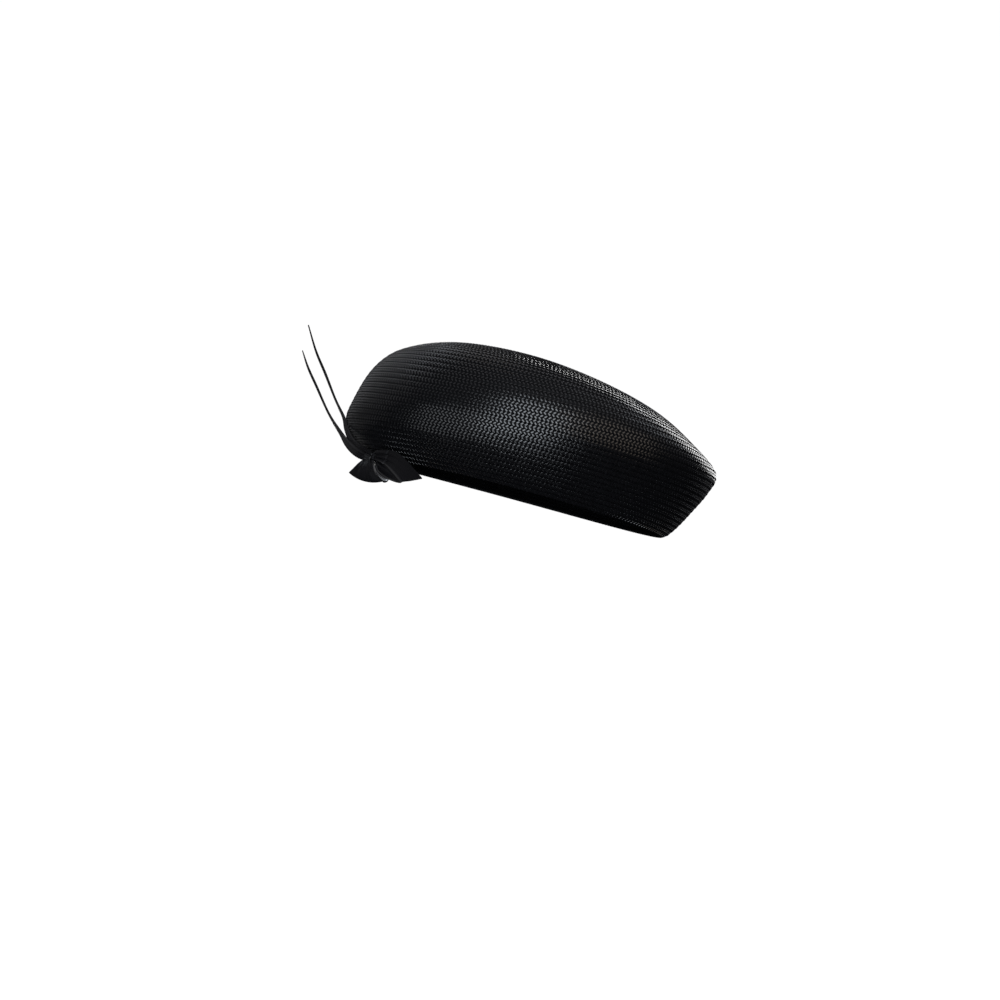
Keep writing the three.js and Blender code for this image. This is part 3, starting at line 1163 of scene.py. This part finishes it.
@dataclass
class BowKnot:
    """The small binding that holds the loops and the quills against the rim, in millimetres."""

    centre: Row = (-114.7, -54.6, 0.6)
    outward: Row = (-0.65, -0.76, 0.0)
    sections: tuple[KnotRow, ...] = (
        KnotRow(-3.2, 1.2, 2.1),
        KnotRow(-2.2, 1.8, 2.9),
        KnotRow(0.0, 2.0, 3.2),
        KnotRow(2.2, 1.8, 2.9),
        KnotRow(3.2, 1.2, 2.1),
    )
    # Turns of the binding, their height and the power that rounds them
    wraps: float = 3.0
    ridge: float = 0.35
    ridge_power: float = 0.7
    # Part of a turn by which the binding climbs on one side, and where
    skew: float = 0.12
    skew_start: float = 0.7
    # Creases round the knot and their depth
    creases: float = 9.0
    crease_depth: float = 0.07
    map_height: float = 0.5
    rings: int = 60
    around: int = 48

    def build(self, material: Material) -> Object:
        """Builds the knot with its turns of binding.

        Args:
            material: The ribbon's finish.

        Returns:
            The piece.
        """
        table = np.array(self.sections)
        outward = unit(np.array(self.outward))
        along = np.array([-outward[1], outward[0], 0.0])
        height = np.linspace(table[0, 0], table[-1, 0], self.rings)
        half = blend(table[:, 0], table[:, 1:], height)
        turn = even_turns(self.around)
        level = (height - height[0]) / (height[-1] - height[0])
        phase = level[:, None] * self.wraps + self.skew * np.sin(turn + self.skew_start)[None, :]
        turns = self.ridge * (np.abs(np.sin(math.pi * phase)) ** self.ridge_power - 0.5)
        creases = self.crease_depth * np.sin(turn * self.creases)[None, :]
        swell = turns + creases * np.sin(level * math.pi)[:, None]
        points = np.array(self.centre) + np.zeros((self.rings, self.around, 3))
        points += along * ((half[:, :1] + swell) * np.sin(turn))[..., None]
        points += outward * ((half[:, 1:2] + swell) * np.cos(turn))[..., None]
        points[..., 2] += height[:, None]
        uv = ring_map(self.around, level * self.map_height)
        return add_piece(loft_mesh("bow_binding", points * MM, uv), material, "bow_knot")


class QuillRow(NamedTuple):
    """One station of a quill, in millimetres: its middle and its half sizes."""

    at: str
    middle: Row
    half_width: float
    half_thickness: float


LONG_QUILL = (
    QuillRow("knot", (-117, -53.5, 1.5), 1.5, 0.8),
    QuillRow("low bend", (-129, -47, 5), 2.4, 0.8),
    QuillRow("widest", (-138.5, -39.5, 9.5), 2.7, 0.8),
    QuillRow("along the crown", (-146, -31.5, 17.5), 2.3, 0.7),
    QuillRow("above the bow", (-152.5, -23.5, 27), 1.4, 0.6),
    QuillRow("free of the crown", (-165, -11.5, 40), 1.1, 0.5),
    QuillRow("middle", (-181, -0.5, 59.5), 1.3, 0.5),
    QuillRow("upper bend", (-195.5, 6.5, 77), 1.1, 0.4),
    QuillRow("tip", (-209, 11.5, 97.5), 0.6, 0.3),
)

SHORT_QUILL = (
    QuillRow("knot", (-117.5, -55.5, -1.5), 1.9, 0.8),
    QuillRow("low bend", (-125, -52.5, -1), 3.3, 0.8),
    QuillRow("widest", (-133, -47.5, 1.5), 3.4, 0.8),
    QuillRow("along the crown", (-141, -41, 6), 2.9, 0.7),
    QuillRow("above the bow", (-149.5, -32.5, 13), 1.7, 0.6),
    QuillRow("free of the crown", (-165.5, -19.5, 26.5), 1.1, 0.5),
    QuillRow("middle", (-184, -8.5, 47), 1.2, 0.5),
    QuillRow("upper bend", (-196, -2.5, 60.5), 1.1, 0.4),
    QuillRow("tip", (-206, 3.5, 74), 0.5, 0.3),
)


@dataclass
class Quill:
    """A slender curved quill, flat and ridged, with loose barbs over its lower end."""

    name: str
    node: str
    slot: str
    rows: tuple[QuillRow, ...]
    # The way its flat side looks, and the part of a row by which its run is felt out
    facing: Row = (-0.55, -0.83, 0.0)
    reach: float = 0.05
    # Ridges round the blade, and their share of its half thickness
    ridges: float = 6.0
    ridge: float = 0.16
    # Rows to a unit of the map
    map_rows: float = 4.0
    stations: int = 130
    around: int = 24
    # Shares across the blade where barbs start, and the rows between which they run
    barbs: Row = (-0.75, -0.35, 0.05, 0.45, 0.85)
    barb_start: float = 0.1
    barb_end: float = 4.6
    # Rows by which the next barb ends earlier, and the barbs after which this repeats
    stagger: float = 0.45
    stagger_count: int = 3
    barb_points: int = 60
    # How far barbs spread at their ends, fall near the edge and stand off the blade
    barb_spread: float = 0.35
    barb_fall: float = 0.8
    barb_gap: float = 0.05 * MM
    # Half thickness of a barb, the share that it falls from along its run, and the least share
    barb_radius: float = 0.45 * MM
    taper: Span = (1.15, 0.12)
    barb_spacing: float = 1.0 * MM
    # Length of a barb to a unit of its map
    barb_map: float = 20.0 * MM
    seed: int = 9

    def frame_at(self, place: np.ndarray) -> Arrays:
        """Middle, side, face and half sizes of the blade.

        Args:
            place: Places along the quill, in rows.

        Returns:
            The middles, the side ways, the face ways and the half sizes.
        """
        lines = [(*row.middle, row.half_width, row.half_thickness) for row in self.rows]
        row, after, before = (read_rows(lines, place + step) for step in (0.0, self.reach, -self.reach))
        tangent = unit(after[..., :3] - before[..., :3])
        side = unit(np.cross(tangent, unit(np.array(self.facing))))
        face = unit(np.cross(side, tangent))
        return row[..., :3], side, face, row[..., 3:]

    def blade(self) -> Mesh:
        """Makes the blade with its shallow ridges.

        Returns:
            The mesh.
        """
        place = np.linspace(0.0, len(self.rows) - 1.0, self.stations)
        middle, side, face, half = self.frame_at(place)
        turn = even_turns(self.around)
        ridge = 1.0 + self.ridge * np.cos(self.ridges * turn)
        across = np.cos(turn)[None, :] * half[:, :1]
        proud = (np.sin(turn) * ridge)[None, :] * half[:, 1:2]
        rings = middle[:, None] + side[:, None] * across[..., None] + face[:, None] * proud[..., None]
        return loft_mesh(self.name, rings, ring_map(self.around, place / self.map_rows))

    def barb_guides(self) -> GuideLines:
        """Makes the lines that the barbs follow, which spread a little towards their ends.

        Returns:
            The guides with the taper at each point.
        """
        lines = []
        tapers = []
        for number, share in enumerate(self.barbs):
            end = self.barb_end - self.stagger * (number % self.stagger_count)
            place = np.linspace(self.barb_start, end, self.barb_points)
            middle, side, face, half = self.frame_at(place)
            run = place / self.barb_end
            offset = share * half[:, 0] * (1.0 + self.barb_spread * run**3)
            lift = half[:, 1] * np.sqrt(1.0 - self.barb_fall * share**2) + self.barb_gap
            lines.append(middle + side * offset[:, None] + face * lift[:, None])
            tapers.append(np.clip(self.taper[0] - run, self.taper[1], 1.0))
        return GuideLines(np.array(lines), False, {"taper": np.array(tapers)})

    def build(self, material: Material, tree: NodeTree) -> list[Object]:
        """Builds the blade and grows its barbs.

        Args:
            material: The quill's finish.
            tree: The node tree of the barbs.

        Returns:
            The two pieces.
        """
        sizes = {
            "Finish": material,
            "Spacing": self.barb_spacing,
            "Radius": self.barb_radius,
            "Map Length": self.barb_map,
            "Seed": self.seed,
        }
        barbs = self.barb_guides().grow(self.name + "_barbs", tree, sizes)
        return [add_piece(mesh, material, self.node) for mesh in (self.blade(), barbs)]


@dataclass(frozen=True)
class SoftLight:
    """One large soft studio light."""

    name: str
    place: Row
    size: Span
    power: float
    colour: Row = (1.0, 1.0, 1.0)

    def build(self, target: Vector) -> Object:
        """Sets the light up.

        Args:
            target: The point that it looks at.

        Returns:
            The light.
        """
        lamp = bpy.data.lights.new(self.name, "AREA")
        lamp.shape = "RECTANGLE"
        lamp.size, lamp.size_y = self.size
        lamp.energy = self.power
        lamp.color = self.colour
        light = bpy.data.objects.new(self.name, lamp)
        light.location = self.place
        light.rotation_euler = (target - Vector(self.place)).to_track_quat("-Z", "Y").to_euler()
        light.visible_camera = False
        bpy.context.scene.collection.objects.link(light)
        return light


@dataclass
class Studio:
    """Camera, pale floor, soft lights and white surroundings."""

    # Where the camera stands, the way it looks and the way the picture's top points
    eye: Row = (-0.0056, -0.845, -0.0417)
    look: Row = (-0.0072, 0.999, 0.0449)
    up: Row = (-0.2649, -0.0452, 0.9632)
    # Focal length and picture width in millimetres, and the nearest distance shown
    lens: float = 36.43
    sensor: float = 36.0
    nearest: float = 0.01
    floor_height: float = -0.6
    floor_reach: float = 6.0
    lights: tuple[SoftLight, ...] = (
        SoftLight("window", (-0.03, -1.394, -0.15), (0.78, 2.16), 25.0, (0.86, 0.93, 1.0)),
        SoftLight("room_left", (-0.75, -1.05, -0.54), (0.97, 1.35), 5.0, (0.9, 0.95, 1.0)),
        SoftLight("wall_left", (-1.39, 0.54, 0.23), (2.2, 2.2), 2.8),
        SoftLight("wall_right", (0.82, -1.12, 0.23), (1.3, 1.2), 4.9, (1.0, 0.87, 0.74)),
        SoftLight("backdrop", (0.834, 1.415, 0.726), (1.9, 1.0), 30.0),
    )
    target: Row = (0.0, 0.0, 0.05)
    # Colours of the surroundings, and the heights between which they blend
    below: Colour = (0.004, 0.004, 0.005, 1.0)
    above: Colour = (0.42, 0.42, 0.45, 1.0)
    heights: Span = (-0.1, 0.9)
    # Strength of the white that the camera sees
    white: float = 1.02

    def camera(self) -> None:
        """Sets the camera up at the viewing angle."""
        look, up = Vector(self.look).normalized(), Vector(self.up).normalized()
        right = look.cross(up).normalized()
        turned = Matrix((right, up, -look)).transposed()
        data = bpy.data.cameras.new("camera")
        data.sensor_width = self.sensor
        data.lens = self.lens
        data.clip_start = self.nearest
        camera = bpy.data.objects.new("camera", data)
        camera.matrix_world = Matrix.Translation(Vector(self.eye)) @ turned.to_4x4()
        bpy.context.scene.collection.objects.link(camera)
        bpy.context.scene.camera = camera

    def floor(self) -> None:
        """Lays the floor, which the straw does not mirror."""
        reach, z = self.floor_reach, self.floor_height
        mesh = bpy.data.meshes.new("floor")
        corners = [(-reach, -reach, z), (reach, -reach, z), (reach, reach, z), (-reach, reach, z)]
        mesh.from_pydata(corners, [], [(0, 1, 2, 3)])
        mesh.materials.append(FloorFinish().material())
        floor = bpy.data.objects.new("floor", mesh)
        floor.visible_glossy = False
        floor.visible_diffuse = False
        floor.visible_shadow = False
        bpy.context.scene.collection.objects.link(floor)

    def surroundings(self) -> None:
        """Makes the surroundings: white to the camera, dim and darker below to the straw."""
        world = bpy.data.worlds.new("surroundings")
        world.use_nodes = True
        bpy.context.scene.world = world
        bench = NodeBench(world.node_tree)
        plain = world.node_tree.nodes["Background"]
        way = bench.add("ShaderNodeTexCoord").outputs["Generated"]
        height = bench.add("ShaderNodeSeparateXYZ", {0: way}).outputs[2]
        rise = bench.remap(height, self.heights, (0.0, 1.0))
        bench.fill(plain, {"Color": bench.mix(rise, self.below, self.above)})
        pale = {"Color": (1.0, 1.0, 1.0, 1.0), "Strength": self.white}
        white = bench.add("ShaderNodeBackground", pale)
        seen = bench.add("ShaderNodeLightPath").outputs["Is Camera Ray"]
        mixed = bench.add("ShaderNodeMixShader", {0: seen, 1: plain.outputs[0], 2: white.outputs[0]})
        bench.fill(world.node_tree.nodes["World Output"], {0: mixed.outputs[0]})

    def build(self) -> None:
        """Sets up the whole studio."""
        self.camera()
        self.floor()
        self.surroundings()
        for light in self.lights:
            light.build(Vector(self.target))
        bpy.context.scene.view_settings.view_transform = "Standard"


def main() -> None:
    """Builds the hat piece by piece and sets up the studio."""
    logging.basicConfig(level=logging.INFO, format="%(name)s: %(message)s")
    straw = StrawFinish().material()
    ground = StrawFinish("straw_ground", roughness=(0.5, 0.7), coat=0.0, gloss=0.04).material()
    form = CrownForm()
    CrownShell(form).build(ground)
    plait = plait_tree()
    stretches = (("plait_top", 0, 24), ("plait_shoulder", 24, 37), ("plait_wall", 37, form.rows))
    for name, first, last in stretches:
        PlaitCourses(form, name, first, last).build(straw, plait)
    PlaitCourses(form, "plait_inside", 0, form.rows, face=Face.INSIDE).build(straw, plait)
    front = BowLoop("front_loop", "bow_loop_front", "front_ribbon", FRONT_LOOP, (0.034, 0.038))
    front.roll = 1.3 * MM
    front.roll_under = 0.0
    front.build(RibbonFinish("front_ribbon", edge=1.0).material())
    side = BowLoop("side_loop", "bow_loop_side", "side_ribbon", SIDE_LOOP, (0.02, 0.094))
    side.crease_depth = 1.1 * MM
    side.build(RibbonFinish("side_ribbon", edge=0.4).material())
    BowKnot().build(RibbonFinish("knot_ribbon", gloss=0.08, ribs=30.0).material())
    barbs = round_line_tree()
    for name, slot, rows in (("long", "long_quill", LONG_QUILL), ("short", "short_quill", SHORT_QUILL)):
        quill = Quill(name + "_blade", "quill_" + name, slot, rows)
        quill.build(QuillFinish(slot).material(), barbs)
    Studio().build()


if __name__ == "__main__":
    main()
